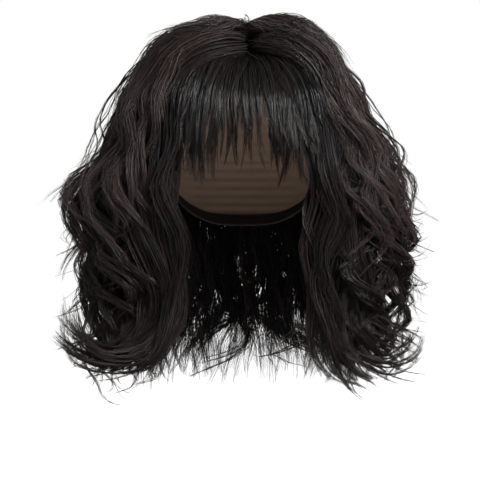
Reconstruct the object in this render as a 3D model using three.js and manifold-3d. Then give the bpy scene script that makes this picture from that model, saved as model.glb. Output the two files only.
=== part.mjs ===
// A shoulder-length wavy wig: a thin fitted cap with the hair sewn on in separate sections.
// Each section is a backing of wefts with its locks fused to it. All sizes are in millimetres.
// +Z is up, the face opening looks along -Y and +X is the wearer's left. The origin is the point
// inside the cap that rests on the crown of the head.
import * as THREE from "three";
import { mergeVertices } from "three/addons/utils/BufferGeometryUtils.js";
import Module from "manifold-3d";

const wasm = await Module();
wasm.setup();

// The head that the cap fits, as an ellipsoid whose top is the origin
const HEAD = { halfBreadth: 77, halfLength: 98, halfHeight: 95 };
const CAP_WALL = 2;
const CAP_GAP = 0.6; // between the cap's outside and the hair sewn on it
const SECTION_GAP = 1; // between neighbouring hair sections
const CAP_FACETS = { round: 24, down: 12 };

// The cap's edge seen from the side: y towards the nape, z up
const CAP_EDGE = [
  { place: "brow", y: -120, z: -46 },
  { place: "forehead", y: -82, z: -50 },
  { place: "temple", y: -58, z: -78 },
  { place: "sideburn", y: -42, z: -100 },
  { place: "ear_front", y: -22, z: -98 },
  { place: "ear_top", y: 2, z: -90 },
  { place: "ear_back", y: 24, z: -104 },
  { place: "behind_ear", y: 44, z: -138 },
  { place: "nape", y: 66, z: -158 },
  { place: "nape_end", y: 120, z: -162 },
];

// Bell coordinates carry the hair: an azimuth in degrees from the face opening towards the wearer's
// left, a station along the hair, and a depth from 0 on the cap to 1 on the outer form.
// Stations up to EQUATOR are degrees of tilt from the vertical at the bell's centre, and from there
// on each further one is a millimetre further down. The centre slides along the parting, so that
// the hair leaves the whole line: forwards at its front end and backwards at its back end.
const BELL = { x: 2, y: -12, z: -60 };
const PARTING_HALF = 26;
const EQUATOR = 90;

// Reach of the outer form from the bell's centre, a row for each station
const OUTER_FORM = [
  { station: 0, front: 77, left: 85, back: 86, right: 85 },
  { station: 16, front: 80, left: 99, back: 92, right: 96 },
  { station: 32, front: 80, left: 106, back: 100, right: 102 },
  { station: 50, front: 78, left: 104, back: 107, right: 107 },
  { station: 70, front: 73, left: 104, back: 115, right: 111 },
  { station: 90, front: 70, left: 114, back: 120, right: 127 },
  { station: 120, front: 72, left: 131, back: 125, right: 139 },
  { station: 152, front: 64, left: 148, back: 129, right: 168 },
  { station: 172, front: 52, left: 158, back: 129, right: 174 },
  { station: 212, front: 38, left: 153, back: 124, right: 158 },
  { station: 252, front: 34, left: 149, back: 124, right: 149 },
  { station: 290, front: 36, left: 160, back: 131, right: 168 },
  { station: 312, front: 40, left: 152, back: 126, right: 158 },
  { station: 332, front: 40, left: 124, back: 106, right: 138 },
];
// Reach of the hair's inside where it hangs free below the cap
const HANG = { front: 78, left: 64, back: 68, right: 64 };

// Azimuth wedges of the sections: the fringe over the brow, a curtain on each side, and the back
const WEDGE = { brow: 48, nape: 132 };

// Backing of each section: at each station, the depths that it lies between
const CROWN_BACKING = [
  { station: 1.5, inner: -0.1, outer: 0.6 },
  { station: 24, inner: -0.1, outer: 0.62 },
  { station: 42, inner: -0.1, outer: 0.64 },
  { station: 60, inner: 0.3, outer: 0.76 },
  { station: 90, inner: 0.4, outer: 0.8 },
  { station: 130, inner: 0.5, outer: 0.8 },
];
const CURTAIN_BACKING = [
  { station: 58, inner: -0.1, outer: 0.4 },
  { station: 80, inner: -0.1, outer: 0.4 },
  { station: 110, inner: -0.1, outer: 0.4 },
  { station: 145, inner: 0.02, outer: 0.38 },
  { station: 185, inner: 0.08, outer: 0.4 },
  { station: 225, inner: 0.12, outer: 0.42 },
  { station: 262, inner: 0.2, outer: 0.36 },
];
const FRINGE_BACKING = [
  { station: 2, inner: -0.1, outer: 0.5 },
  { station: 24, inner: -0.1, outer: 0.55 },
  { station: 42, inner: -0.1, outer: 0.55 },
  { station: 60, inner: -0.1, outer: 0.5 },
  { station: 78, inner: 0.1, outer: 0.46 },
  { station: 98, inner: 0.24, outer: 0.5 },
];
const BACKING_FACETS = 6;

// The room under the crown that the side and back sections keep to, out to the given depth
const UNDER_CROWN = [
  { station: 46, inner: -0.8, outer: 0.06 },
  { station: 62, inner: -0.8, outer: 0.44 },
  { station: 90, inner: -0.8, outer: 0.5 },
  { station: 130, inner: -0.8, outer: 0.56 },
  { station: 166, inner: -0.8, outer: 0.68 },
  { station: 194, inner: -0.8, outer: 0.84 },
  { station: 218, inner: -0.8, outer: 1.3 },
  { station: 345, inner: -0.8, outer: 1.5 },
];
const UNDER_CROWN_FACETS = 16;

// Tiers of locks. A tier spreads count locks from one azimuth to the other. Each lock runs from the
// root station to the tip station while its depth goes from root to middle to tip, and its waves
// swing it sideways by wave, once every pitch millimetres. ragged shortens every other lock.
const FRINGE_TIERS = [
  { count: 8, azimuths: [-36, 35], stations: [8, 146], depths: [0.5, 0.72, 0.66],
    width: 21, thick: 9, wave: 1.5, pitch: 90, ragged: 12, fan: 5 },
];
const CROWN_TIERS = [
  { count: 7, azimuths: [63, 167], stations: [6, 204], depths: [0.6, 0.84, 0.97],
    width: 56, thick: 24, wave: 5, pitch: 90, ragged: 20, fan: 2 },
];
const SIDE_TIERS = [
  { count: 3, azimuths: [64, 118], stations: [64, 316], depths: [0.2, 0.24, 0.3],
    width: 40, thick: 20, wave: 7, pitch: 110, ragged: 22, fan: -4 },
  { count: 3, azimuths: [62, 120], stations: [70, 332], depths: [0.3, 0.5, 0.7],
    width: 54, thick: 32, wave: 9, pitch: 104, ragged: 16, fan: 0 },
  { count: 4, azimuths: [61, 121], stations: [112, 334], depths: [0.24, 0.84, 1.02],
    width: 58, thick: 36, wave: 9, pitch: 96, ragged: 22, fan: 3 },
];
const BACK_TIERS = [
  { count: 3, azimuths: [148, 212], stations: [64, 322], depths: [0.2, 0.28, 0.4],
    width: 64, thick: 24, wave: 8, pitch: 110, ragged: 22, fan: 0 },
  { count: 5, azimuths: [143, 217], stations: [112, 338], depths: [0.24, 0.82, 0.98],
    width: 58, thick: 32, wave: 10, pitch: 100, ragged: 22, fan: 0 },
];
const LOCK_STEP = 30; // the longest stretch of a lock between two of its sections
// A lock's section, as shares of its width and thickness
const LOCK_SECTION = [
  { across: -0.5, out: 0 },
  { across: -0.28, out: -0.5 },
  { across: 0.28, out: -0.5 },
  { across: 0.5, out: 0 },
  { across: 0.28, out: 0.5 },
  { across: -0.28, out: 0.5 },
];
const LOCK_TIP = 0.22; // a lock's size at its tip, as a share of its full size
const SIMPLIFY = 0.25; // how far a section's facets may be eased when they are merged

const SHADES = {
  cap: { color: 0x14110f, roughness: 0.9 },
  fringe: { color: 0x1d1715, roughness: 0.5 },
  crown: { color: 0x241b18, roughness: 0.5 },
  curtain: { color: 0x1c1513, roughness: 0.5 },
};

const radians = THREE.MathUtils.degToRad;
const { lerp, smoothstep } = THREE.MathUtils;

// A value with front, left, back and right columns, read at any azimuth between them
function roundTheHead(row, azimuth) {
  const columns = ["front", "left", "back", "right", "front"];
  const turn = (((azimuth % 360) + 360) % 360) / 90;
  const column = Math.floor(turn);
  return lerp(row[columns[column]], row[columns[column + 1]], smoothstep(turn - column, 0, 1));
}

// A table with a station column, read between its rows by a curve through them
function alongTable(table, station, read) {
  const last = table.length - 1;
  let row = table.findIndex((entry) => entry.station > station) - 1;
  if (row < 0) row = station < table[0].station ? 0 : last - 1;
  const [before, from, to, after] = [row - 1, row, row + 1, row + 2].map((index) =>
    read(table[THREE.MathUtils.clamp(index, 0, last)]),
  );
  const share = (station - table[row].station) / (table[row + 1].station - table[row].station);
  const t = THREE.MathUtils.clamp(share, 0, 1);
  const [riseFrom, riseTo] = [(to - before) / 2, (after - from) / 2];
  return (
    from * (2 * t ** 3 - 3 * t ** 2 + 1) +
    riseFrom * (t ** 3 - 2 * t ** 2 + t) +
    to * (3 * t ** 2 - 2 * t ** 3) +
    riseTo * (t ** 3 - t ** 2)
  );
}

// Where on the parting the hair of an azimuth leaves it
const partingAt = (azimuth) => BELL.y - PARTING_HALF * Math.cos(radians(azimuth));

// The ray of a bell coordinate: fanned from the centre over the dome, level below it
function bellRay(azimuth, station) {
  const tilt = radians(Math.min(station, EQUATOR));
  const turn = radians(azimuth);
  const drop = Math.max(station - EQUATOR, 0);
  return new THREE.Ray(
    new THREE.Vector3(BELL.x, partingAt(azimuth), BELL.z - drop),
    new THREE.Vector3(Math.sin(tilt) * Math.sin(turn), -Math.sin(tilt) * Math.cos(turn), Math.cos(tilt)),
  );
}

// How far a ray that starts inside the head goes to reach the cap's outside, grown by a margin
function reachToCap(ray, margin) {
  const semi = new THREE.Vector3(HEAD.halfBreadth, HEAD.halfLength, HEAD.halfHeight).addScalar(margin);
  const start = ray.origin.clone().add(new THREE.Vector3(0, 0, HEAD.halfHeight)).divide(semi);
  const step = ray.direction.clone().divide(semi);
  const half = start.dot(step);
  const inside = half ** 2 - step.lengthSq() * (start.lengthSq() - 1);
  return inside > 0 ? (-half + Math.sqrt(inside)) / step.lengthSq() : 0;
}

function bellPoint(azimuth, station, depth, margin = 0) {
  const ray = bellRay(azimuth, station);
  const hang = station > EQUATOR ? roundTheHead(HANG, azimuth) : 0;
  const inner = Math.max(reachToCap(ray, CAP_WALL + CAP_GAP), hang);
  const outer = alongTable(OUTER_FORM, station, (row) => roundTheHead(row, azimuth));
  return ray.at(lerp(inner, outer, depth) + margin, new THREE.Vector3());
}

// A closed geometry through rings of equally many points, each ring folded shut like a zip at the ends
function loft(rings) {
  const size = rings[0].length;
  const index = [];
  rings.slice(1).forEach((ring, row) => {
    for (let i = 0; i < size; i++) {
      const [a, b] = [row * size + i, row * size + ((i + 1) % size)];
      index.push(a, b, a + size, b, b + size, a + size);
    }
  });
  const end = (rings.length - 1) * size;
  for (let i = 0; i < size / 2 - 1; i++) {
    const [a, b, c, d] = [i, i + 1, size - 2 - i, size - 1 - i];
    index.push(a, d, b, b, d, c);
    index.push(end + a, end + b, end + d, end + b, end + c, end + d);
  }
  return new THREE.BufferGeometry().setFromPoints(rings.flat()).setIndex(index);
}

function toSolid(geometry) {
  const bare = geometry.clone();
  bare.deleteAttribute("normal");
  bare.deleteAttribute("uv");
  const merged = mergeVertices(bare, 1e-3);
  const made = new wasm.Manifold(
    new wasm.Mesh({
      numProp: 3,
      vertProperties: merged.attributes.position.array,
      triVerts: new Uint32Array(merged.index.array),
    }),
  );
  return made;
}

function toMesh(name, solid, shade) {
  const { vertProperties, triVerts } = solid.getMesh();
  const geometry = new THREE.BufferGeometry()
    .setAttribute("position", new THREE.BufferAttribute(vertProperties, 3))
    .setIndex(new THREE.BufferAttribute(triVerts, 1));
  geometry.computeVertexNormals();
  const mesh = new THREE.Mesh(geometry, new THREE.MeshStandardMaterial({ ...SHADES[shade], metalness: 0 }));
  mesh.name = name;
  return mesh;
}

// The head's ellipsoid grown by a margin
function headForm(margin) {
  const form = new THREE.SphereGeometry(1, CAP_FACETS.round, CAP_FACETS.down);
  form.rotateX(Math.PI / 2);
  form.scale(HEAD.halfBreadth + margin, HEAD.halfLength + margin, HEAD.halfHeight + margin);
  form.translate(0, 0, -HEAD.halfHeight);
  return toSolid(form);
}

// Everything below the cap's edge, as a slice across the whole head
function belowTheEdge() {
  const floor = -3 * HEAD.halfHeight;
  const across = 4 * HEAD.halfBreadth;
  const edge = CAP_EDGE.map(({ y, z }) => new THREE.Vector2(y, z));
  const outline = new THREE.Shape();
  outline.moveTo(edge[0].x, floor);
  outline.lineTo(edge.at(-1).x, floor);
  outline.lineTo(edge.at(-1).x, edge.at(-1).y);
  outline.splineThru(edge.slice(0, -1).reverse());
  const slice = new THREE.ExtrudeGeometry(outline, { depth: across, bevelEnabled: false, curveSegments: 3 });
  slice.translate(0, 0, -across / 2);
  // Shape x and y become the part's Y and Z, and the depth runs along X
  slice.applyMatrix4(new THREE.Matrix4().set(0, 0, 1, 0, 1, 0, 0, 0, 0, 1, 0, 0, 0, 0, 0, 1));
  return toSolid(slice);
}

function capSolid() {
  return headForm(CAP_WALL).subtract(headForm(0)).subtract(belowTheEdge());
}

// The room that a section keeps to: a wedge out from the parting, half a gap inside its two planes
function wedgeSolid(fromAzimuth, toAzimuth) {
  const reach = 500;
  const edge = (azimuth, side, far) => {
    const turn = radians(azimuth);
    const inset = (side * SECTION_GAP) / 2;
    return new THREE.Vector2(
      BELL.x + far * Math.sin(turn) + inset * Math.cos(turn),
      partingAt(azimuth) - far * Math.cos(turn) + inset * Math.sin(turn),
    );
  };
  const middle = (fromAzimuth + toAzimuth) / 2;
  const corners = [
    edge(fromAzimuth, 1, SECTION_GAP),
    edge(fromAzimuth, 1, reach),
    edge(middle, 0, 2 * reach),
    edge(toAzimuth, -1, reach),
    edge(toAzimuth, -1, SECTION_GAP),
  ];
  const sector = new THREE.ExtrudeGeometry(new THREE.Shape(corners), { depth: 2 * reach, bevelEnabled: false });
  return toSolid(sector.translate(0, 0, -reach));
}

// A curved slab through a table of stations and depths, its outside moved out by a margin
function slabSolid(rows, fromAzimuth, toAzimuth, facets = BACKING_FACETS, margin = 0) {
  const turns = Array.from({ length: facets + 1 }, (_, i) => lerp(fromAzimuth, toAzimuth, i / facets));
  const rings = rows.map(({ station, inner, outer }) => [
    ...turns.map((azimuth) => bellPoint(azimuth, station, outer, margin)),
    ...turns.toReversed().map((azimuth) => bellPoint(azimuth, station, inner)),
  ]);
  return toSolid(loft(rings.reverse()));
}

const underCrown = (margin) => slabSolid(UNDER_CROWN, 30, 330, UNDER_CROWN_FACETS, margin);

// How full a lock is from root to tip
function fullness(t) {
  return lerp(0.6, 1, smoothstep(t, 0, 0.35)) * lerp(1, LOCK_TIP, smoothstep(t, 0.6, 1));
}

function lockSolid(tier, order) {
  const { count, azimuths, stations, depths, width, thick, wave, pitch, ragged, fan } = tier;
  const place = count > 1 ? order / (count - 1) : 0.5;
  const azimuth = lerp(azimuths[0], azimuths[1], place);
  const tip = stations[1] - ragged * (order % 2) - 0.35 * ragged * ((order * 2) % 3);
  const length = tip - stations[0];
  const steps = Math.ceil(length / LOCK_STEP);
  const outwards = (t) =>
    t < 0.5 ? lerp(depths[0], depths[1], smoothstep(t, 0, 0.5)) : lerp(depths[1], depths[2], 2 * t - 1);
  const spine = [];
  for (let i = 0; i <= steps; i++) {
    const t = i / steps;
    const station = lerp(stations[0], tip, t);
    const swing = wave * smoothstep(t, 0.1, 0.6) * Math.sin((2 * Math.PI * t * length) / pitch + 2.1 * order);
    const spread = fan * (2 * place - 1) * t;
    const reach = OUTER_FORM[5].left;
    spine.push(bellPoint(azimuth + spread + THREE.MathUtils.radToDeg(swing / reach), station, outwards(t)));
  }
  const curve = new THREE.CatmullRomCurve3(spine);
  const rings = spine.map((centre, i) => {
    const t = i / steps;
    const along = curve.getTangent(t);
    const from = new THREE.Vector3(BELL.x, partingAt(azimuth), Math.min(centre.z, BELL.z));
    const across = centre.clone().sub(from).cross(along).normalize();
    const out = along.clone().cross(across).normalize();
    const full = fullness(t);
    return LOCK_SECTION.map((corner) =>
      centre
        .clone()
        .addScaledVector(across, corner.across * width * full)
        .addScaledVector(out, corner.out * thick * full),
    );
  });
  return toSolid(loft(rings));
}

// The largest shell of a solid, which leaves out offcuts and fills the pockets shut in between locks
function wholeSolid(solid) {
  const shells = solid.simplify(SIMPLIFY).decompose();
  return shells.reduce((large, shell) => (shell.volume() > large.volume() ? shell : large));
}

// A section's backing and locks fused, hollowed to the cap and cut to the section's wedge
function sectionSolid(backing, tiers, fromAzimuth, toAzimuth) {
  let section = slabSolid(backing, fromAzimuth, toAzimuth);
  for (const tier of tiers)
    for (let order = 0; order < tier.count; order++) section = section.add(lockSolid(tier, order));
  return section.subtract(headForm(CAP_WALL + CAP_GAP)).intersect(wedgeSolid(fromAzimuth, toAzimuth));
}

function crownSolid(tiers, fromAzimuth, toAzimuth) {
  return wholeSolid(sectionSolid(CROWN_BACKING, tiers, fromAzimuth, toAzimuth).subtract(underCrown(0)));
}

function curtainSolid(tiers, fromAzimuth, toAzimuth) {
  const curtain = sectionSolid(CURTAIN_BACKING, tiers, fromAzimuth, toAzimuth);
  return wholeSolid(curtain.intersect(underCrown(-SECTION_GAP)));
}

// The same tiers on the wearer's right, whose azimuths run the other way round
const mirrored = (tiers) =>
  tiers.map((tier) => ({ ...tier, azimuths: tier.azimuths.map((azimuth) => 360 - azimuth) }));

const { brow, nape } = WEDGE;
const wig = new THREE.Group();
wig.add(
  toMesh("cap", capSolid(), "cap"),
  toMesh("fringe", wholeSolid(sectionSolid(FRINGE_BACKING, FRINGE_TIERS, -brow, brow)), "fringe"),
  toMesh("crown_left", crownSolid(CROWN_TIERS, brow, 180), "crown"),
  toMesh("crown_right", crownSolid(mirrored(CROWN_TIERS), 180, 360 - brow), "crown"),
  toMesh("side_left", curtainSolid(SIDE_TIERS, brow, nape), "curtain"),
  toMesh("side_right", curtainSolid(mirrored(SIDE_TIERS), 360 - nape, 360 - brow), "curtain"),
  toMesh("back", curtainSolid(BACK_TIERS, nape, 360 - nape), "curtain"),
);

export default wig;
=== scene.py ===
"""A shoulder-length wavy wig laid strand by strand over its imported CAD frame."""

import math
from typing import NamedTuple

import bpy
import numpy as np
from bpy.props import FloatProperty, FloatVectorProperty, IntProperty, PointerProperty
from bpy.types import Operator, Panel, PropertyGroup
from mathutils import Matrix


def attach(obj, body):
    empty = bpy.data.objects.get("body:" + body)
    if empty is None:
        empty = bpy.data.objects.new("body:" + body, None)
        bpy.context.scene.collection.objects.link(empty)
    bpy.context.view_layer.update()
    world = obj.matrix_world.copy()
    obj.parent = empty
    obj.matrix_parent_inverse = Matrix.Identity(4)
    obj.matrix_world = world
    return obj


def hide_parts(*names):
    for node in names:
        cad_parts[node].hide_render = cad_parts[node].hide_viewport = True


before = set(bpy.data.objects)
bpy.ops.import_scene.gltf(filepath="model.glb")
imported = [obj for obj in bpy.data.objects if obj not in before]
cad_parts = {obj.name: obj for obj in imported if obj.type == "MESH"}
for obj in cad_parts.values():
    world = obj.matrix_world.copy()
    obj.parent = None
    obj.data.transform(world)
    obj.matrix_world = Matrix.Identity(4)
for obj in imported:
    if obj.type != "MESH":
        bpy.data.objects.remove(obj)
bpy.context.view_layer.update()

bl_info = {
    "name": "Wavy wig",
    "version": (1, 0, 0),
    "blender": (4, 5, 0),
    "location": "View3D > Sidebar > Wig",
    "description": "Lays the hair of a wavy wig over its cap, strand by strand",
    "category": "Object",
}

MM = 0.001

# The head that the cap fits: an ellipsoid whose top is the origin, in millimetres
HEAD = np.array([77.0, 98.0, 95.0])
CAP_WALL = 2.0
CAP_CLEAR = 0.6
# The cap's edge seen from the side, from the brow over the ear to the nape: y, z
CAP_EDGE = np.array(
    [
        [-120, -46],
        [-82, -50],
        [-58, -78],
        [-42, -100],
        [-22, -98],
        [2, -90],
        [24, -104],
        [44, -138],
        [66, -158],
        [120, -162],
    ],
    float,
)

# Bell coordinates carry the hair: an azimuth in degrees from the face opening towards the wearer's
# left, a station along the hair and a depth from 0 on the cap to 1 on the outer form. Stations up
# to EQUATOR are degrees of tilt from the vertical, and each further one is a millimetre down.
# The bell's centre slides along the parting, so the hair leaves the whole line.
BELL = np.array([2.0, -12.0, -60.0])
PARTING_HALF = 26.0
EQUATOR = 90.0
DEGREE_LENGTH = 1.75  # millimetres of hair in a degree of tilt

# Reach of the outer form from the bell's centre: station, front, left, back, right
OUTER_FORM = np.array(
    [
        [0, 77, 85, 86, 87],
        [16, 80, 89, 92, 89.5],
        [32, 79, 97, 99, 93],
        [50, 76, 99, 106, 104],
        [70, 73, 98, 113, 106],
        [90, 76, 106, 118, 118],
        [105, 77.5, 116, 121, 124],
        [120, 77, 127, 124, 131],
        [152, 62, 147, 129, 161],
        [172, 48, 156, 129, 171],
        [212, 38, 152, 124, 156],
        [252, 34, 149, 124, 149],
        [290, 36, 154, 131, 156],
        [312, 40, 146, 128, 146],
        [332, 40, 126, 112, 128],
    ],
    float,
)
# Reach of the hair's inside where it hangs free below the cap: front, left, back, right
HANG = np.array([78.0, 64.0, 68.0, 64.0])
HANG_START, HANG_FULL = 80.0, 125.0  # stations over which the hair comes free of the cap
HANG_LEAST = 14.0  # least depth of the hair below the cap
STRAND_CLEAR = 0.5  # least distance from a strand to the hair's inside


class Tier(NamedTuple):
    """A tier of like locks, hung side by side. Lengths are millimetres and turns are degrees."""

    count: int  # locks
    strands: int  # strands in a lock
    azimuths: tuple  # of the first and the last lock
    stations: tuple  # of the root and the tip
    depths: tuple  # at the root, once lifted and at the tip
    section: tuple  # width and thickness of a lock
    wave: tuple  # swing and pitch
    ragged: tuple  # how much shorter a lock and a strand may end
    flip: tuple  # turn of the ends away from the head, and the length that turns
    tone_and_shading: float  # from 0, the darkest, to 1, the warmest; partly the hair's own tone and partly painted light: inner layers, lower hair and the fringe get dark values as painted shade, and the crown gets warm ones as painted light from above
    clump: float = 0.3  # share of its section that a lock keeps at its tip
    lift: float = 110.0  # length over which a lock lifts off the cap
    sweep: tuple = (0, 0)  # how far the first and the last lock swing round the head near the root
    split: float = 0.25  # share of its section that a part of a lock keeps at its tip
    roll: tuple = (0, 0)  # more length in the turn of the first and the last lock
    tail: float = 0.0  # share of the turning length that runs straight on past the turn
    vary: float = 0.09  # share by which a lock's turn may differ
    wander: float = 3.0  # how far a lock may swing round the head by chance


# Each tier gives its count, strands, azimuths, stations, depths, section, wave, ragged, flip and
# tone_and_shading
FRINGE_TIERS = (
    # Long and short hair over the brow
    Tier(
        20, 56, (-40, 40), (19, 156), (0.02, 0.8, 0.7), (17, 8), (1.6, 90), (12, 60), (8, 40), 0.04,
        lift=125, clump=0.8, split=0.4, wander=6,
    ),
    Tier(
        16, 62, (-42, 42), (18, 126), (0.02, 0.76, 0.7), (25, 8), (1.2, 90), (8, 30), (4, 40), 0.04,
        lift=125, clump=0.95, split=0.8, wander=6,
    ),
    # Fuller hair towards the temples
    Tier(
        12, 72, (-60, -27), (15, 166), (0.02, 0.76, 0.42), (17, 8), (2, 90), (12, 30), (8, 40), 0.04,
        lift=125, clump=0.8, split=0.9, wander=6,
    ),
    Tier(
        17, 66, (12, 60), (15, 162), (0.02, 0.76, 0.42), (17, 8), (2, 90), (14, 30), (8, 40), 0.04,
        lift=125, clump=0.8, split=0.9, wander=6,
    ),
    # Thin locks on top
    Tier(
        14, 12, (-40, 40), (20, 160), (0.02, 0.86, 0.76), (7, 5), (3, 80), (22, 24), (12, 40), 0.1,
        lift=125, clump=0.4, wander=6,
    ),
)
CROWN_TIERS = (
    # The layer below the top one
    Tier(
        14, 40, (36, 182), (1, 200), (0.2, 0.6, 0.7), (40, 16), (7, 88), (50, 40), (6, 50), 0.2,
        sweep=(24, 0), wander=6,
    ),
    # Four layers swept back from the front of the parting, each longer and higher than the last
    Tier(
        8, 46, (2, 18), (19, 160), (0.02, 0.3, 0.5), (22, 12), (3, 88), (30, 40), (8, 50), 0.02,
        lift=130, sweep=(24, 32), wander=6,
    ),
    Tier(
        7, 76, (3, 20), (17, 176), (0.02, 0.42, 0.56), (24, 14), (5, 88), (40, 40), (8, 50), 0.02,
        lift=110, sweep=(44, 40), wander=6,
    ),
    Tier(
        8, 76, (4, 28), (13, 206), (0.03, 0.64, 0.7), (28, 20), (7, 88), (50, 80), (8, 50), 0.2,
        lift=80, sweep=(52, 38), wander=6,
    ),
    Tier(
        9, 80, (6, 38), (9, 246), (0.05, 0.86, 0.88), (30, 18), (10, 88), (60, 80), (8, 50), 0.7,
        lift=66, sweep=(52, 32), wander=6,
    ),
    # The top layer at the side and at the back
    Tier(
        13, 80, (38, 128), (1, 250), (0.5, 0.84, 0.88), (36, 11), (12, 86), (60, 80), (8, 50), 0.8,
        lift=26, sweep=(30, 4), wander=6,
    ),
    Tier(
        8, 80, (128, 184), (1, 250), (0.24, 0.84, 0.88), (36, 11), (12, 86), (60, 80), (8, 50), 0.8,
        lift=80, wander=6,
    ),
    # Thin locks, and loose hairs that stand off the top
    Tier(
        16, 12, (44, 180), (2, 230), (0.5, 0.9, 0.88), (12, 8), (11, 66), (110, 30), (24, 40), 0.7,
        sweep=(20, 0), vary=0.7, wander=6,
    ),
    Tier(
        24, 5, (20, 180), (1, 150), (0.4, 1.0, 1.06), (22, 8), (5, 50), (120, 30), (10, 30), 0.7,
        sweep=(30, 0), wander=6,
    ),
    Tier(
        20, 4, (40, 140), (2, 64), (0.4, 1.0, 1.12), (34, 12), (3, 34), (36, 20), (14, 20), 0.5,
        lift=40, sweep=(24, 0), wander=6,
    ),
    Tier(
        14, 4, (4, 70), (3, 90), (0.1, 1.0, 0.96), (40, 10), (4, 40), (60, 30), (10, 30), 0.3,
        lift=60, sweep=(44, 14), wander=6,
    ),
    Tier(
        14, 6, (-14, 60), (2, 58), (0.3, 1.02, 0.98), (36, 10), (7, 44), (40, 30), (10, 30), 0.7,
        lift=36, sweep=(60, 24), wander=6,
    ),
)
SIDE_TIERS = (
    # Inner, middle and outer layers of the curtain
    Tier(
        9, 80, (54, 134), (62, 344), (0.12, 0.2, 0.3), (46, 26), (8, 90), (10, 30), (16, 60), 0.02,
        clump=0.8, split=0.6,
    ),
    Tier(
        12, 76, (62, 130), (66, 350), (0.3, 0.5, 0.5), (36, 26), (14, 84), (20, 40), (50, 60), 0.06,
        split=0.55,
    ),
    Tier(
        17, 66, (60, 131), (100, 360), (0.3, 0.84, 0.62), (30, 18), (17, 82), (40, 56), (66, 56), 0.22,
        split=0.45,
    ),
    # Thin locks, and loose ones that stand off the side
    Tier(
        18, 11, (56, 130), (110, 330), (0.5, 0.92, 0.86), (9, 8), (15, 62), (150, 24), (60, 44), 0.2,
        vary=0.7,
    ),
    Tier(
        10, 18, (72, 104), (140, 300), (0.6, 0.9, 0.84), (9, 7), (10, 76), (120, 30), (46, 62), 0.16,
        clump=0.12, vary=0.4,
    ),
    Tier(
        3, 10, (82, 98), (44, 196), (0.6, 1.16, 0.9), (6, 5), (14, 70), (30, 20), (30, 40), 0.3,
        lift=60,
    ),
)
# What each side curtain has alone. The bands by the face curl away from it at their ends.
LEFT_CURLS = (
    # Bands by the face, and thin locks that turn in
    Tier(
        6, 110, (48, 60), (66, 358), (0.3, 0.62, 0.5), (30, 24), (6, 106), (4, 24), (66, 60), 0.14,
        clump=0.5, split=0.7,
    ),
    Tier(
        5, 56, (58, 76), (80, 382), (0.3, 0.66, 0.5), (20, 16), (10, 90), (16, 50), (146, 84), 0.12,
        clump=0.26, split=0.35, tail=0.05,
    ),
    Tier(2, 12, (50, 52), (190, 356), (0.5, 0.6, 0.5), (8, 6), (5, 80), (20, 16), (-95, 76), 0.04),
    # Thin curls on the side, and loose loops that stand off it
    Tier(
        7, 14, (74, 100), (150, 312), (0.6, 0.86, 0.8), (9, 7), (8, 76), (120, 30), (140, 42), 0.16,
        clump=0.12, vary=0.3,
    ),
    Tier(
        3, 10, (82, 96), (60, 184), (0.6, 1.28, 0.6), (6, 5), (7, 70), (10, 20), (10, 40), 0.3,
        lift=100,
    ),
)
RIGHT_CURLS = (
    # Bands by the face, and thin tails that turn in
    Tier(
        6, 120, (313, 299), (66, 372), (0.3, 0.62, 0.45), (28, 22), (6, 106), (6, 54), (160, 89), 0.14,
        clump=0.42, split=0.6, roll=(58, 12),
    ),
    Tier(
        4, 90, (300, 286), (66, 356), (0.3, 0.66, 0.5), (26, 20), (9, 92), (10, 44), (100, 54), 0.12,
        clump=0.34, split=0.5,
    ),
    Tier(2, 12, (280, 276), (150, 376), (0.6, 0.88, 1.16), (8, 6), (4, 90), (4, 16), (-84, 46), 0.05),
)
# The inside of each side curtain, towards the back
LINING_TIERS = (
    Tier(
        6, 24, (84, 124), (62, 344), (0.1, 0.22, 0.3), (44, 22), (6, 90), (10, 30), (10, 60), 0.02,
        clump=0.95, split=0.9,
    ),
)
BACK_TIERS = (
    # Inner, middle and outer layers
    Tier(
        30, 42, (122, 238), (62, 346), (0.1, 0.22, 0.3), (44, 22), (6, 90), (10, 30), (10, 60), 0.02,
        clump=0.95, split=0.9,
    ),
    Tier(
        24, 22, (126, 234), (80, 344), (0.2, 0.4, 0.44), (44, 22), (9, 84), (10, 30), (24, 60), 0.04,
        clump=0.8, split=0.7,
    ),
    Tier(
        22, 100, (126, 234), (90, 354), (0.3, 0.84, 0.74), (38, 26), (15, 84), (36, 56), (66, 66), 0.25,
        split=0.45,
    ),
    # Thin locks
    Tier(
        12, 11, (134, 226), (110, 326), (0.5, 0.94, 0.9), (9, 8), (14, 62), (120, 24), (56, 44), 0.25,
        vary=0.7,
    ),
)
# Straight lengths in a strand of each piece
FRINGE_STEPS, CROWN_STEPS, SIDE_STEPS, BACK_STEPS = 13, 15, 22, 20


class WigSizes(PropertyGroup):
    """Sizes of the strands and the stage"""

    strand: FloatProperty(
        name="Strand thickness", description="Width of a strand at its root", default=0.62 * MM, unit="LENGTH"
    )
    frizz: FloatProperty(
        name="Frizz", description="How far a strand strays from its lock", default=1.3 * MM, unit="LENGTH"
    )
    seed: IntProperty(name="Seed", description="Start of the random draws", default=7)
    floor_drop: FloatProperty(
        name="Floor", description="Height of the floor from the crown", default=-0.46, unit="LENGTH"
    )


class WigColours(PropertyGroup):
    """Colours of the hair, the cap and the floor"""

    dark: FloatVectorProperty(
        name="Dark strand", description="The darkest strands", subtype="COLOR",
        default=(0.0033, 0.0029, 0.0029),
    )
    warm: FloatVectorProperty(
        name="Warm strand", description="The lightest strands", subtype="COLOR",
        default=(0.03, 0.0199, 0.0179),
    )
    cap: FloatVectorProperty(
        name="Cap", description="Elastic net of the cap", subtype="COLOR", default=(0.24, 0.165, 0.12)
    )
    tape: FloatVectorProperty(
        name="Tape", description="Tape round the cap's edge, and its hair side", subtype="COLOR",
        default=(0.014, 0.0105, 0.0095),
    )
    floor: FloatVectorProperty(
        name="Floor", description="Pale studio floor", subtype="COLOR", default=(0.93, 0.93, 0.93)
    )


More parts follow.
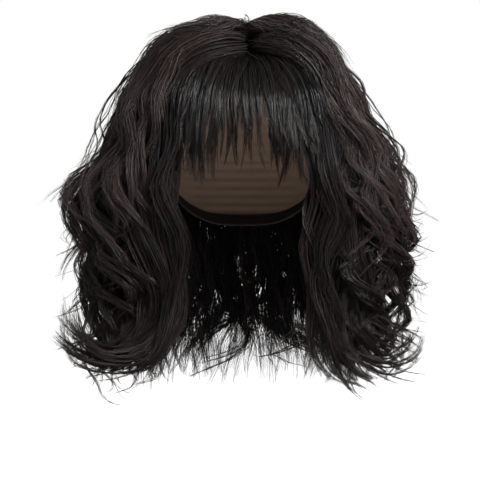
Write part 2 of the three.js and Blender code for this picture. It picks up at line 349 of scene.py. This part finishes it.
class Value:
    """A shader socket that takes part in Python sums"""

    def __init__(self, finish, socket):
        self.finish = finish
        self.socket = socket

    def _sum(self, operation, first, second):
        node = self.finish.node("ShaderNodeMath", {"operation": operation}, (first, second))
        return Value(self.finish, node.outputs[0])

    def __add__(self, other):
        return self._sum("ADD", self, other)

    def __radd__(self, other):
        return self._sum("ADD", other, self)

    def __sub__(self, other):
        return self._sum("SUBTRACT", self, other)

    def __rsub__(self, other):
        return self._sum("SUBTRACT", other, self)

    def __mul__(self, other):
        return self._sum("MULTIPLY", self, other)

    def __rmul__(self, other):
        return self._sum("MULTIPLY", other, self)

    def wave(self):
        """Sine of a count of whole turns"""
        return self._sum("SINE", self * (2 * math.pi), 0.0)


class Shading:
    """A node tree that takes nodes, values and links"""

    def __init__(self, tree):
        self.tree = tree

    def node(self, kind, settings, inputs):
        """A node of a kind with its settings, and values or links for its sockets by place or name"""
        made = self.tree.nodes.new(kind)
        for setting, value in settings.items():
            setattr(made, setting, value)
        pairs = inputs.items() if isinstance(inputs, dict) else enumerate(inputs)
        for key, value in pairs:
            self.join(made.inputs[key], value)
        return made

    def join(self, socket, value):
        if isinstance(value, Value):
            self.tree.links.new(value.socket, socket)
        elif isinstance(value, bpy.types.NodeSocket):
            self.tree.links.new(value, socket)
        else:
            socket.default_value = value

    def value(self, socket):
        return Value(self, socket)

    def mix(self, factor, first, second):
        made = self.node("ShaderNodeMix", {"data_type": "RGBA"}, {0: factor, 6: first, 7: second})
        return made.outputs[2]


class Finish(Shading):
    """A material with one principled surface"""

    def __init__(self, name):
        self.material = bpy.data.materials.new(name)
        self.material.use_nodes = True
        super().__init__(self.material.node_tree)
        self.surface = self.tree.nodes["Principled BSDF"]


def smooth(value, low, high):
    share = np.clip((value - low) / (high - low), 0.0, 1.0)
    return share * share * (3.0 - 2.0 * share)


def between(low, high, share):
    return low + (high - low) * share


def unit(vectors):
    return vectors / np.maximum(np.linalg.norm(vectors, axis=-1, keepdims=True), 1e-9)


def along_table(rows, at):
    """The columns after a table's first one, read on a smooth curve through its rows"""
    last = len(rows) - 1
    row = np.clip(np.searchsorted(rows[:, 0], at, "right") - 1, 0, last - 1)
    share = np.clip((at - rows[row, 0]) / (rows[row + 1, 0] - rows[row, 0]), 0.0, 1.0)[..., None]
    before, start = rows[np.maximum(row - 1, 0), 1:], rows[row, 1:]
    end, after = rows[row + 1, 1:], rows[np.minimum(row + 2, last), 1:]
    return (
        start * (2 * share**3 - 3 * share**2 + 1)
        + (end - before) / 2 * (share**3 - 2 * share**2 + share)
        + end * (3 * share**2 - 2 * share**3)
        + (after - start) / 2 * (share**3 - share**2)
    )


def around_head(columns, azimuth):
    """Front, left, back and right columns read at any azimuth between them"""
    turn = np.mod(azimuth, 360.0) / 90.0
    column = np.floor(turn).astype(int) % 4
    share = smooth(turn - np.floor(turn), 0.0, 1.0)
    columns = np.broadcast_to(columns, (*azimuth.shape, 4))
    first = np.take_along_axis(columns, column[..., None], -1)[..., 0]
    second = np.take_along_axis(columns, ((column + 1) % 4)[..., None], -1)[..., 0]
    return between(first, second, share)


def outer_reach(azimuth, station):
    return around_head(along_table(OUTER_FORM, station), azimuth)


def bell_ray(azimuth, station):
    """Where the rays of the bell start, and which way they go"""
    tilt = np.radians(np.minimum(station, EQUATOR))
    turn = np.radians(azimuth)
    origin = np.stack(
        [
            np.full_like(turn, BELL[0]),
            BELL[1] - PARTING_HALF * np.cos(turn),
            BELL[2] - np.maximum(station - EQUATOR, 0.0),
        ],
        -1,
    )
    way = np.stack([np.sin(tilt) * np.sin(turn), -np.sin(tilt) * np.cos(turn), np.cos(tilt)], -1)
    return origin, way


def inner_reach(azimuth, station, origin, way, outer):
    """Reach of the hair's inside: the cap's outside, or below it the inside of the free hair"""
    size = HEAD + CAP_WALL + CAP_CLEAR
    start = (origin + [0.0, 0.0, HEAD[2]]) / size
    step = way / size
    half = (start * step).sum(-1)
    square = (step * step).sum(-1)
    inside = half**2 - square * ((start * start).sum(-1) - 1.0)
    reach = np.where(inside > 0.0, (-half + np.sqrt(np.maximum(inside, 0.0))) / square, 0.0)
    hang = np.minimum(around_head(HANG, azimuth), outer - HANG_LEAST)
    return np.maximum(reach, hang * smooth(station, HANG_START, HANG_FULL))


def bell_point(azimuth, station, depth, out):
    """Points in metres, moved out by a distance in millimetres and kept off the cap"""
    origin, way = bell_ray(azimuth, station)
    outer = outer_reach(azimuth, station)
    inner = inner_reach(azimuth, station, origin, way, outer)
    reach = np.maximum(between(inner, outer, depth) + out, inner + STRAND_CLEAR)
    return (origin + way * reach[..., None]) * MM


def station_of(length):
    """Station at a length of hair from the parting"""
    dome = EQUATOR * DEGREE_LENGTH
    return np.where(length < dome, length / DEGREE_LENGTH, EQUATOR + length - dome)


def length_of(station):
    """Length of hair from the parting to a station"""
    return np.where(station < EQUATOR, station * DEGREE_LENGTH, EQUATOR * (DEGREE_LENGTH - 1.0) + station)


def disc(chance, count):
    """Points spread over the unit disc"""
    turn = chance.random(count) * 2 * math.pi
    return np.sqrt(chance.random(count))[:, None] * np.stack([np.cos(turn), np.sin(turn)], -1)


FRIZZ_RATES = (1.3, 2.7, 4.6)  # turns of a strand's frizz along it
FRIZZ_PHASES = 7.0  # radians among which a turn starts
FRIZZ_START, FRIZZ_FULL = 0.05, 0.9  # places along a strand over which its frizz grows


def frizz_of(chance, count, root_to_tip):
    """A slow random curl for each strand, growing from its root"""
    curl = np.zeros((count, len(root_to_tip)))
    for rate in FRIZZ_RATES:
        turn = 2 * math.pi * rate * root_to_tip + chance.uniform(0, FRIZZ_PHASES, (count, 1))
        curl += np.sin(turn) * chance.normal(0, 1 / rate, (count, 1))
    return curl * smooth(root_to_tip, FRIZZ_START, FRIZZ_FULL)


PART_STRANDS = 30  # strands in a part of a lock
PART_SPREAD, STRAND_SPREAD = 0.8, 0.45  # shares of a lock's section that its parts and a part's strands fill
ROOT_SPREAD = 9.0  # how far a root may lie from its row
SWEEP_LENGTH = 110.0  # length over which a lock swings round the head
LEAST_GIRTH = 45.0  # least reach from the parting that turns a distance across into an angle

WAVE_START, WAVE_FULL = 90.0, 210.0  # lengths from the parting over which the waves grow
OUT_SHARE = 0.6  # share of the waves' swing that goes in and out
# How far the waves' phase drifts, in radians, round the head and along a lock, each with the degrees or
# the length in a radian of the drift
SLOW_DRIFT, SLOW_DEGREES = 2.6, 23.0
FAST_DRIFT, FAST_DEGREES = 1.3, 9.0
LOCK_DRIFT, LOCK_DRIFT_LENGTH = 0.7, 47.0

WAIST = 0.7  # share of its section that a lock keeps at its waist
WAIST_START, WAIST_FULL = 0.2, 0.6  # places along a lock over which it gathers to the waist
CLUMP_START, SPLIT_START, TIP_DEPTH_START = 0.6, 0.5, 0.5  # places where it starts to take its tip's form
TIP_LENGTH, TIP_SHARE = 36.0, 0.4  # a lock's parts come to a point over this length, down to this share
TIP_THINNING = 1.4  # from 1, evenly thinning tips, to more, fuller ones
SIDE_TURN = 0.8  # share of the way to the nearer side that the ends' flip turns

SLEEK_FRIZZ = 0.45  # share of the frizz that sleek hair has
SLEEK_SWING, WAVY_SWING = 1.0, 8.0  # swings of sleek hair, and of hair with all its frizz
LOOSE_SHARE, LOOSE_FRIZZ = 0.06, 2.6  # strands that leave their lock, and how much more they frizz

# How far a lock, a part of it and a strand may differ by chance
PLACE_CHANCE = 0.35  # share of the way to the next lock
SWING_CHANCE, PITCH_CHANCE = (0.5, 1.4), (0.8, 1.2)  # shares of the tier's
PHASE_CHANCE, PART_PHASE_CHANCE = 0.35, 0.3  # radians
HEADING_CHANCE, PART_FLIP_CHANCE = 10.0, 7.0  # degrees
DEPTH_CHANCE = 0.06
PART_SHORTENING = 20.0
TINT_CHANCE, PART_TINT_CHANCE, STRAND_TINT_CHANCE = 0.08, 0.1, 0.1


def curl_ends(length, end, flip, turning, tail):
    """How far strands fall and stand off where their last stretch turns away from the head"""
    bend = np.radians(flip) * np.clip((1.0 - (end - length) / turning) / (1.0 - tail), 0.0, 1.0)
    step = np.diff(length, axis=1, prepend=length[:, :1])
    return length[:, :1] + np.cumsum(step * np.cos(bend), 1), np.cumsum(step * np.sin(bend), 1)


def side_heading(azimuth):
    """Turn from straight out of the head towards the nearer side, where the ends flip to"""
    side = 90.0 if azimuth % 360.0 < 180.0 else 270.0
    return SIDE_TURN * (side - azimuth % 360.0)


def wave_phase(azimuth, shift):
    """Phase of a lock's waves in radians. It drifts round the head, so that near locks wave alike."""
    slow = SLOW_DRIFT * math.sin(azimuth / SLOW_DEGREES)
    return slow + FAST_DRIFT * math.sin(azimuth / FAST_DEGREES + shift)


def lock_depth(tier, lifted, share):
    """Depths along a lock's strands, at lengths from its row and shares of its length"""
    low, middle, high = tier.depths
    depth = between(low, middle, smooth(lifted, -ROOT_SPREAD, tier.lift))
    return depth + (high - middle) * smooth(share, TIP_DEPTH_START, 1.0)


def lock_gathers(tier, share, length, part_end):
    """Shares of their sections that a lock and its parts keep along their strands"""
    waist = between(1.0, WAIST, smooth(share, WAIST_START, WAIST_FULL))
    lock_gather = waist * between(1.0, tier.clump, smooth(share, CLUMP_START, 1.0))
    part_gather = waist * between(1.0, tier.split, smooth(share, SPLIT_START, 1.0))
    part_gather *= between(1.0, TIP_SHARE, smooth(length, part_end - TIP_LENGTH, part_end))
    return lock_gather, part_gather


def lay_lock(tier, order, steps, chance, frizz):
    """Paths of one lock's strands, with their tints"""
    strands, parts = tier.strands, max(2, tier.strands // PART_STRANDS)
    place = (order + 0.5 + chance.uniform(-PLACE_CHANCE, PLACE_CHANCE)) / tier.count
    azimuth = between(*tier.azimuths, place)
    start, end = length_of(np.array(tier.stations, float))
    roll = between(*tier.roll, place)
    end += roll - tier.ragged[0] * chance.random()
    swing = tier.wave[0] * chance.uniform(*SWING_CHANCE)
    pitch = tier.wave[1] * chance.uniform(*PITCH_CHANCE)
    phase = wave_phase(azimuth, tier.count) + chance.normal(0, PHASE_CHANCE)
    flip = tier.flip[0] * chance.uniform(1.0 - tier.vary, 1.0 + tier.vary)
    heading = math.radians(azimuth + side_heading(azimuth) + chance.normal(0, HEADING_CHANCE))
    lean = between(*tier.sweep, place) + chance.normal(0, tier.wander)
    depth_shift = chance.normal(0, DEPTH_CHANCE)

    part = chance.integers(0, parts, strands)
    heart = (disc(chance, parts) * PART_SPREAD)[part]
    own = disc(chance, strands) * STRAND_SPREAD
    part_phase = chance.normal(0, PART_PHASE_CHANCE, parts)[part][:, None]
    part_flip = flip + chance.normal(0, PART_FLIP_CHANCE, parts)[part][:, None]
    part_end = end - chance.random(parts)[part][:, None] * PART_SHORTENING
    part_tint = chance.normal(0, PART_TINT_CHANCE, parts)[part]

    root_to_tip = np.linspace(0.0, 1.0, steps + 1)
    tip = part_end - chance.random((strands, 1)) ** TIP_THINNING * tier.ragged[1]
    length = between(start + chance.uniform(-ROOT_SPREAD, ROOT_SPREAD, (strands, 1)), tip, root_to_tip)
    share = np.clip((length - start) / (end - start), 0.0, 1.0)
    fall, kick = curl_ends(length, part_end, part_flip, tier.flip[1] + roll, tier.tail)
    station = station_of(fall)

    lock_gather, part_gather = lock_gathers(tier, share, length, part_end)
    wave = swing * smooth(length, WAVE_START, WAVE_FULL)
    drift = LOCK_DRIFT * np.sin(length / LOCK_DRIFT_LENGTH + phase)
    turn = 2 * math.pi * length / pitch + phase + part_phase + drift
    stray = frizz * between(SLEEK_FRIZZ, 1.0, smooth(tier.wave[0], SLEEK_SWING, WAVY_SWING))
    loose_stray = stray * np.where(chance.random((strands, 1)) < LOOSE_SHARE, LOOSE_FRIZZ, 1.0)
    width, thickness = tier.section
    across = (heart[:, :1] * lock_gather + own[:, :1] * part_gather) * width / 2
    across += wave * np.sin(turn) + loose_stray * frizz_of(chance, strands, root_to_tip)
    out = (heart[:, 1:] * lock_gather + own[:, 1:] * part_gather) * thickness / 2
    out += OUT_SHARE * wave * np.cos(turn) + loose_stray * frizz_of(chance, strands, root_to_tip)

    aim = azimuth + lean * smooth(length - start, 0.0, SWEEP_LENGTH)
    girth = outer_reach(aim, station) * np.sin(np.radians(np.minimum(station, EQUATOR)))
    turned = aim + np.degrees(across / np.maximum(girth, LEAST_GIRTH))
    depth = lock_depth(tier, length - start, share) + depth_shift * share
    paths = bell_point(turned, station, depth, out)
    paths += kick[..., None] * np.array([math.sin(heading), -math.cos(heading), 0.0]) * MM
    # The tier's tone, partly painted shade and light, varied at random by lock, part and strand
    tints = tier.tone_and_shading + chance.normal(0, TINT_CHANCE) + part_tint
    tints += chance.normal(0, STRAND_TINT_CHANCE, strands)
    return paths, np.clip(tints, 0.0, 1.0)


def lay_tiers(tiers, steps, key, frizz):
    """Paths and tints of all the locks. Each lock draws by itself, so its look is its own."""
    locks = [
        lay_lock(tier, order, steps, np.random.default_rng([*key, place, order]), frizz)
        for place, tier in enumerate(tiers)
        for order in range(tier.count)
    ]
    return np.concatenate([paths for paths, _ in locks]), np.concatenate([tints for _, tints in locks])


TINT_BAND = 0.012  # width of a strand on its map
STRAND_ROUND = math.radians(60)  # tilt of the normals at a strand's edges, which shade it as round
WIDTH_CHANCE = (0.7, 1.3)
TAPER_START, TAPER_SHARE = 0.7, 0.3  # where along a strand it starts to thin, and the width left at its tip


def new_piece(name, points, faces, corner_map, normals=None):
    """An object of equal-sided smooth faces whose map OFBake is given corner by corner"""
    mesh = bpy.data.meshes.new(name)
    sides = faces.shape[1]
    mesh.vertices.add(len(points))
    mesh.vertices.foreach_set("co", points.astype(np.float32).ravel())
    mesh.loops.add(faces.size)
    mesh.loops.foreach_set("vertex_index", faces.astype(np.int32).ravel())
    mesh.polygons.add(len(faces))
    mesh.polygons.foreach_set("loop_start", np.arange(0, faces.size, sides, dtype=np.int32))
    mesh.polygons.foreach_set("use_smooth", np.ones(len(faces), bool))
    layer = mesh.uv_layers.new(name="OFBake")
    layer.uv.foreach_set("vector", corner_map.astype(np.float32).ravel())
    mesh.update(calc_edges=True)
    mesh.validate()
    if normals is not None:
        mesh.normals_split_custom_set_from_vertices(normals)
    piece = bpy.data.objects.new(name, mesh)
    bpy.context.scene.collection.objects.link(piece)
    return piece


def strand_piece(name, paths, tints, width, chance):
    """One mesh of flat, tapered strands. Its map holds the tone across, partly painted light and shade, and
    the place along.
    """
    count, rings = paths.shape[:2]
    along = unit(np.gradient(paths, axis=1))
    chord = unit(paths[:, -1] - paths[:, 0])
    aside = chance.normal(size=(count, 3))
    aside = unit(aside - (aside * chord).sum(-1, keepdims=True) * chord)
    spoke = unit(np.cross(along, aside[:, None]))
    root_to_tip = np.linspace(0.0, 1.0, rings)
    taper = between(1.0, TAPER_SHARE, smooth(root_to_tip, TAPER_START, 1.0))
    half = width / 2 * chance.uniform(*WIDTH_CHANCE, (count, 1)) * taper
    edges = spoke * half[..., None]
    points = np.stack([paths - edges, paths + edges], 2).reshape(-1, 3)
    facing = np.cross(spoke, along) * math.cos(STRAND_ROUND)
    tilted = spoke * math.sin(STRAND_ROUND)
    normals = np.stack([facing - tilted, facing + tilted], 2).reshape(-1, 3)

    near = np.arange(count * rings).reshape(count, rings)[:, :-1].ravel() * 2
    faces = np.stack([near, near + 1, near + 3, near + 2], -1)
    left = np.repeat(tints * (1.0 - TINT_BAND), rings - 1)
    right = left + TINT_BAND
    low = np.tile(root_to_tip[:-1], count)
    high = np.tile(root_to_tip[1:], count)
    corner_map = np.stack([left, low, right, low, right, high, left, high], -1)
    return new_piece(name, points, faces, corner_map, normals)


class Fibre(NamedTuple):
    """How a kind of hair takes the light"""

    name: str
    shine: float  # specular level
    rough: float  # roughness past the dull roots
    shaded_root_end: float  # place along a strand where its dull root ends; up to here the root is darkened as painted shade


WAVED_FIBRE = Fibre("hair_fibre", 0.19, 0.37, 0.46)
COMBED_FIBRE = Fibre("combed_fibre", 0.3, 0.33, 0.22)
SHADED_ROOT_WARMTH = 0.25  # share of its warmth that a strand has at its root, which is darkened as painted shade
DULL_ROUGHNESS = 0.85  # roughness that a wholly dull strand would gain
TIP_SMOOTHNESS = 0.06  # roughness that a strand loses at its tip


def hair_finish(colours, fibre):
    """The finish of a kind of hair, made once for all the pieces that share it"""
    made = bpy.data.materials.get(fibre.name)
    if made:
        return made
    finish = Finish(fibre.name)
    spot = finish.node("ShaderNodeUVMap", {"uv_map": "OFBake"}, ())
    split = finish.node("ShaderNodeSeparateXYZ", {}, (spot.outputs[0],))
    # Across the map lies each strand's tone, partly painted shade and light; along it lies the place from
    # root to tip
    tone_and_shading, place = finish.value(split.outputs[0]), finish.value(split.outputs[1])
    root_shade_ramp = finish.node(
        "ShaderNodeMapRange",
        {"interpolation_type": "SMOOTHSTEP"},
        {0: place, 2: fibre.shaded_root_end, 3: SHADED_ROOT_WARMTH, 4: 1.0},
    )
    unshaded_share = finish.value(root_shade_ramp.outputs[0])
    # Each root is darkened towards the dark strands as painted shade of the hair lying over it
    colour = finish.mix(tone_and_shading * unshaded_share, (*colours.dark, 1), (*colours.warm, 1))
    roughness = fibre.rough + (1.0 - unshaded_share) * DULL_ROUGHNESS - place * TIP_SMOOTHNESS
    finish.join(finish.surface.inputs["Base Color"], colour)
    finish.join(finish.surface.inputs["Roughness"], roughness)
    finish.surface.inputs["Specular IOR Level"].default_value = fibre.shine
    return finish.material


def hair_piece(context, name, tiers, steps, node, fibre=WAVED_FIBRE):
    """A piece of hair in the place of a node"""
    wig = context.scene.wig
    key = [wig.sizes.seed, sum(map(ord, name))]
    paths, tints = lay_tiers(tiers, steps, key, wig.sizes.frizz / MM)
    piece = strand_piece(name, paths, tints, wig.sizes.strand, np.random.default_rng(key))
    piece.data.materials.append(hair_finish(wig.colours, fibre))
    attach(piece, "root")
    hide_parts(node)
    return piece


def mirrored(tiers):
    """The same tiers on the wearer's other side"""
    return tuple(
        tier._replace(
            azimuths=tuple(360 - turn for turn in tier.azimuths), sweep=tuple(-turn for turn in tier.sweep)
        )
        for tier in tiers
    )


CAP_TURNS = 80
CAP_INSIDE, CAP_OUTSIDE = 120, 20  # rings of the two faces of the cap's wall
FIRST_RING = 0.02  # share of the way from the top to the edge where the first ring lies
EDGE_START, EDGE_TRIES = 0.3, 2000  # first angle from the top and number of angles tried for the edge
NET_MARGIN, TAPE_MARGIN = 1.0, 0.1  # how far the net and the tape lie off the head
WEFT_PITCH = 8.0  # from one sewn row of hair to the next
WEFT_RISE = 0.7
WEFT_NARROWNESS = 6
BINDING, BINDING_EDGE = 9.0, 1.0  # width of the tape round the cap's edge, and of the tape's own edge
INSIDE_MAP, OUTSIDE_MAP = (0.01, 0.48), (0.5, 0.99)  # where the two faces start and end on the map
MAP_JUMP = 0.6  # a face wider than this on the map lies across its seam


def cap_rim():
    """Angle from the top down to the cap's edge, for each turn round the head"""
    turns = np.linspace(0.0, 2 * math.pi, CAP_TURNS, endpoint=False)
    downs = np.linspace(EDGE_START, math.pi, EDGE_TRIES)
    y = -HEAD[1] * np.outer(np.cos(turns), np.sin(downs))
    below = HEAD[2] * (np.cos(downs) - 1.0) < along_table(CAP_EDGE, y)[..., 0]
    return turns, downs[np.argmax(below, axis=1)]


def cap_wall(turns, downs, margin):
    """Points of the head's form, grown by a margin in millimetres"""
    across = np.sin(downs)
    form = np.stack([across * np.sin(turns), -across * np.cos(turns), np.cos(downs)], -1)
    return (form * (HEAD + margin[..., None]) - [0.0, 0.0, HEAD[2]]) * MM


def weft_margin(downs, rims):
    """How far the inside lies off the head: rows of weft stand in, and so does the edge's tape"""
    length = downs * HEAD.mean()
    row = np.abs(np.sin(math.pi * length / WEFT_PITCH)) ** WEFT_NARROWNESS
    tape = smooth(rims * HEAD.mean() - length, BINDING + BINDING_EDGE, BINDING)
    return between(NET_MARGIN - WEFT_RISE * row, TAPE_MARGIN, tape)


def cap_map(faces, count):
    """Map of the cap's faces, turns across and rings along, with the faces at its seam made whole"""
    spot = np.empty((count, 2))
    spot[:-2, 0] = np.tile(np.arange(CAP_TURNS) / CAP_TURNS, CAP_INSIDE + CAP_OUTSIDE)
    places = [np.linspace(*INSIDE_MAP, CAP_INSIDE), np.linspace(*OUTSIDE_MAP, CAP_OUTSIDE)]
    spot[:-2, 1] = np.repeat(np.concatenate(places), CAP_TURNS)
    spot[-2:] = [[0.5, 0.0], [0.5, 1.0]]
    corner_map = spot[faces]
    wraps = np.ptp(corner_map[..., 0], axis=1) > MAP_JUMP
    corner_map[wraps, :, 0] += np.where(corner_map[wraps, :, 0] < 1.0 - MAP_JUMP, 1.0, 0.0)
    return corner_map


def cap_piece():
    """The stretch cap as one closed wall: sewn rows inside, a smooth outside and a taped edge"""
    turns, rims = cap_rim()
    inside = rims * np.linspace(FIRST_RING, 1.0, CAP_INSIDE)[:, None]
    outside = rims * np.linspace(1.0, FIRST_RING, CAP_OUTSIDE)[:, None]
    walls = [
        cap_wall(turns, inside, weft_margin(inside, rims)),
        cap_wall(turns, outside, np.full(outside.shape, CAP_WALL)),
    ]
    poles = np.array([[0.0, 0.0, NET_MARGIN], [0.0, 0.0, CAP_WALL]]) * MM
    points = np.concatenate([*(wall.reshape(-1, 3) for wall in walls), poles])

    rings = CAP_INSIDE + CAP_OUTSIDE
    index = np.arange(rings * CAP_TURNS).reshape(rings, CAP_TURNS)
    after = np.roll(index, -1, axis=1)
    sheet = np.stack([index[:-1], after[:-1], after[1:], index[1:]], -1).reshape(-1, 4)
    fans = []
    for ring, pole in ((index[0][::-1], len(points) - 2), (index[-1], len(points) - 1)):
        middle = np.full(CAP_TURNS // 2, pole)
        fans.append(np.stack([middle, ring[::2], ring[1::2], np.roll(ring, -2)[::2]], -1))
    faces = np.concatenate([sheet, *fans])
    return new_piece("wig_cap", points, faces, cap_map(faces, len(points)))


NET_TURNS, NET_ROWS = 260.0, 300.0  # meshes of the net round the head and along the map
NET_SHADE = 0.45  # share of its colour that the net has in its meshes
NET_BUMP, NET_BUMP_DEPTH = 0.3, 0.0003
TAPE_START, TAPE_FULL = 0.45, 0.454  # places on the map where the tape sets in, and the hair side follows
CAP_ROUGHNESS, CAP_SHINE = 0.85, 0.2


def cap_finish(colours):
    """An elastic net with a taped edge and a dark outside"""
    finish = Finish("cap_net")
    spot = finish.node("ShaderNodeUVMap", {"uv_map": "OFBake"}, ())
    split = finish.node("ShaderNodeSeparateXYZ", {}, (spot.outputs[0],))
    round_head = finish.value(split.outputs[0]) * NET_TURNS
    down = finish.value(split.outputs[1]) * NET_ROWS
    thread = (round_head + down).wave() * (round_head - down).wave()
    shade = tuple(NET_SHADE * channel for channel in colours.cap)
    net = finish.mix(thread * 0.5 + 0.5, (*colours.cap, 1), (*shade, 1))
    taped = finish.node("ShaderNodeMapRange", {}, {0: split.outputs[1], 1: TAPE_START, 2: TAPE_FULL})
    colour = finish.mix(taped.outputs[0], net, (*colours.tape, 1))
    finish.join(finish.surface.inputs["Base Color"], colour)
    finish.surface.inputs["Roughness"].default_value = CAP_ROUGHNESS
    finish.surface.inputs["Specular IOR Level"].default_value = CAP_SHINE
    bump = finish.node(
        "ShaderNodeBump", {}, {"Strength": NET_BUMP, "Distance": NET_BUMP_DEPTH, "Height": thread}
    )
    finish.join(finish.surface.inputs["Normal"], bump.outputs[0])
    return finish.material


class WIG_OT_cap(Operator):
    """Sew the stretch cap"""

    bl_idname = "wig.cap"
    bl_label = "Cap"

    def execute(self, context):
        piece = cap_piece()
        piece.data.materials.append(cap_finish(context.scene.wig.colours))
        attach(piece, "root")
        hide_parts("cap")
        return {"FINISHED"}


class WIG_OT_fringe(Operator):
    """Lay the thin fringe over the brow"""

    bl_idname = "wig.fringe"
    bl_label = "Fringe"

    def execute(self, context):
        hair_piece(context, "fringe_hair", FRINGE_TIERS, FRINGE_STEPS, "fringe", COMBED_FIBRE)
        return {"FINISHED"}


class WIG_OT_crown(Operator):
    """Lay the lofted crown on both sides of the parting"""

    bl_idname = "wig.crown"
    bl_label = "Crown"

    def execute(self, context):
        hair_piece(context, "crown_left_hair", CROWN_TIERS, CROWN_STEPS, "crown_left")
        hair_piece(context, "crown_right_hair", mirrored(CROWN_TIERS), CROWN_STEPS, "crown_right")
        return {"FINISHED"}


class WIG_OT_sides(Operator):
    """Hang the side curtains that frame the face"""

    bl_idname = "wig.sides"
    bl_label = "Sides"

    def execute(self, context):
        left = SIDE_TIERS + LEFT_CURLS + LINING_TIERS
        right = mirrored(SIDE_TIERS) + RIGHT_CURLS + mirrored(LINING_TIERS)
        hair_piece(context, "side_left_hair", left, SIDE_STEPS, "side_left")
        hair_piece(context, "side_right_hair", right, SIDE_STEPS, "side_right")
        return {"FINISHED"}


class WIG_OT_back(Operator):
    """Hang the back hair"""

    bl_idname = "wig.back"
    bl_label = "Back"

    def execute(self, context):
        hair_piece(context, "back_hair", BACK_TIERS, BACK_STEPS, "back")
        return {"FINISHED"}


# The room's light grows towards the top: where it starts and stops growing, and its strength there
ROOM_LOW, ROOM_HIGH = -0.5, 0.7
LOW_LIGHT, HIGH_LIGHT = 0.18, 0.45
WHITE = (1, 1, 1, 1)
FLOOR_HALF = 12.0
FLOOR_ROUGHNESS, FLOOR_GLOW = 0.8, 0.64
LAMP_AIM = np.array([0, 0, -0.14])
# Soft lamps: name, place, size and power
LAMPS = (
    ("front", (0.8, -1.25, 0.7), 0.6, 56.0),
    ("left", (-1.4, -0.7, 0.7), 0.8, 8.0),
    ("right", (1.4, -0.8, 0.6), 0.8, 20.0),
    ("back", (0.2, 1.4, 0.8), 1.4, 12.0),
)
CAMERA_PLACE = (-0.0036, -1.8, -0.1737)
CAMERA_LENS, CAMERA_SENSOR = 150.0, 36.0


def studio_world():
    """A white room whose light comes mostly from above"""
    world = bpy.data.worlds.new("studio")
    world.use_nodes = True
    room = Shading(world.node_tree)
    spot = room.node("ShaderNodeTexCoord", {}, ())
    split = room.node("ShaderNodeSeparateXYZ", {}, (spot.outputs["Generated"],))
    glow = room.node(
        "ShaderNodeMapRange", {}, (split.outputs[2], ROOM_LOW, ROOM_HIGH, LOW_LIGHT, HIGH_LIGHT)
    )
    light = room.node("ShaderNodeBackground", {}, (WHITE, glow.outputs[0]))
    white = room.node("ShaderNodeBackground", {}, (WHITE, 1.0))
    ray = room.node("ShaderNodeLightPath", {}, ())
    seen = room.node("ShaderNodeMixShader", {}, (ray.outputs[0], light.outputs[0], white.outputs[0]))
    room.join(room.tree.nodes["World Output"].inputs[0], seen.outputs[0])
    return world


def pale_floor(scene):
    """A wide floor that glows a little, so that it stays as pale as the room"""
    wig = scene.wig
    mesh = bpy.data.meshes.new("floor")
    corners = [(-1, -1), (1, -1), (1, 1), (-1, 1)]
    points = [(x * FLOOR_HALF, y * FLOOR_HALF, wig.sizes.floor_drop) for x, y in corners]
    mesh.from_pydata(points, [], [(0, 1, 2, 3)])
    floor = bpy.data.objects.new("floor", mesh)
    scene.collection.objects.link(floor)
    floor.visible_glossy = False
    finish = Finish("pale_floor")
    finish.surface.inputs["Base Color"].default_value = (*wig.colours.floor, 1)
    finish.surface.inputs["Roughness"].default_value = FLOOR_ROUGHNESS
    finish.surface.inputs["Emission Color"].default_value = WHITE
    finish.surface.inputs["Emission Strength"].default_value = FLOOR_GLOW
    mesh.materials.append(finish.material)
    return floor


def soft_lamp(scene, name, place, size, power):
    """A square lamp turned towards the wig"""
    lamp = bpy.data.lights.new(name, "AREA")
    lamp.size, lamp.energy = size, power
    holder = bpy.data.objects.new(name, lamp)
    holder.location = place
    aim = LAMP_AIM - np.array(place)
    flat = math.hypot(aim[0], aim[1])
    holder.rotation_euler = (math.atan2(flat, -aim[2]), 0, math.atan2(-aim[0], aim[1]))
    scene.collection.objects.link(holder)


def front_camera(scene):
    """A level camera straight in front of the face opening"""
    camera = bpy.data.cameras.new("camera")
    camera.lens, camera.sensor_width = CAMERA_LENS, CAMERA_SENSOR
    holder = bpy.data.objects.new("camera", camera)
    holder.location = CAMERA_PLACE
    holder.rotation_euler = (math.pi / 2, 0, 0)
    scene.collection.objects.link(holder)
    return holder


class WIG_OT_stage(Operator):
    """Set the pale floor, the soft lights and the camera"""

    bl_idname = "wig.stage"
    bl_label = "Stage"

    def execute(self, context):
        scene = context.scene
        scene.view_settings.view_transform = "Standard"
        floor = pale_floor(scene)
        scene.world = studio_world()
        for lamp in LAMPS:
            soft_lamp(scene, *lamp)
        scene.camera = front_camera(scene)
        return {"FINISHED"}


OPERATORS = (WIG_OT_stage, WIG_OT_cap, WIG_OT_fringe, WIG_OT_crown, WIG_OT_sides, WIG_OT_back)


class WIG_PT_sidebar(Panel):
    """The wig's pieces and settings"""

    bl_idname = "WIG_PT_sidebar"
    bl_label = "Wavy wig"
    bl_space_type = "VIEW_3D"
    bl_region_type = "UI"
    bl_category = "Wig"

    def draw(self, context):
        wig = context.scene.wig
        for group in (wig.sizes, wig.colours):
            for setting in group.bl_rna.properties:
                if not setting.is_readonly and setting.identifier != "name":
                    self.layout.prop(group, setting.identifier)
        for operator in OPERATORS:
            self.layout.operator(operator.bl_idname)


class WigSettings(PropertyGroup):
    """All that a user would change"""

    sizes: PointerProperty(type=WigSizes)
    colours: PointerProperty(type=WigColours)


CLASSES = (WigSizes, WigColours, WigSettings, *OPERATORS, WIG_PT_sidebar)


def register():
    for made in CLASSES:
        bpy.utils.register_class(made)
    bpy.types.Scene.wig = PointerProperty(type=WigSettings)


def unregister():
    del bpy.types.Scene.wig
    for made in reversed(CLASSES):
        bpy.utils.unregister_class(made)


def main():
    register()
    bpy.ops.wig.stage()
    bpy.ops.wig.cap()
    bpy.ops.wig.fringe()
    bpy.ops.wig.crown()
    bpy.ops.wig.sides()
    bpy.ops.wig.back()


if __name__ == "__main__":
    main()
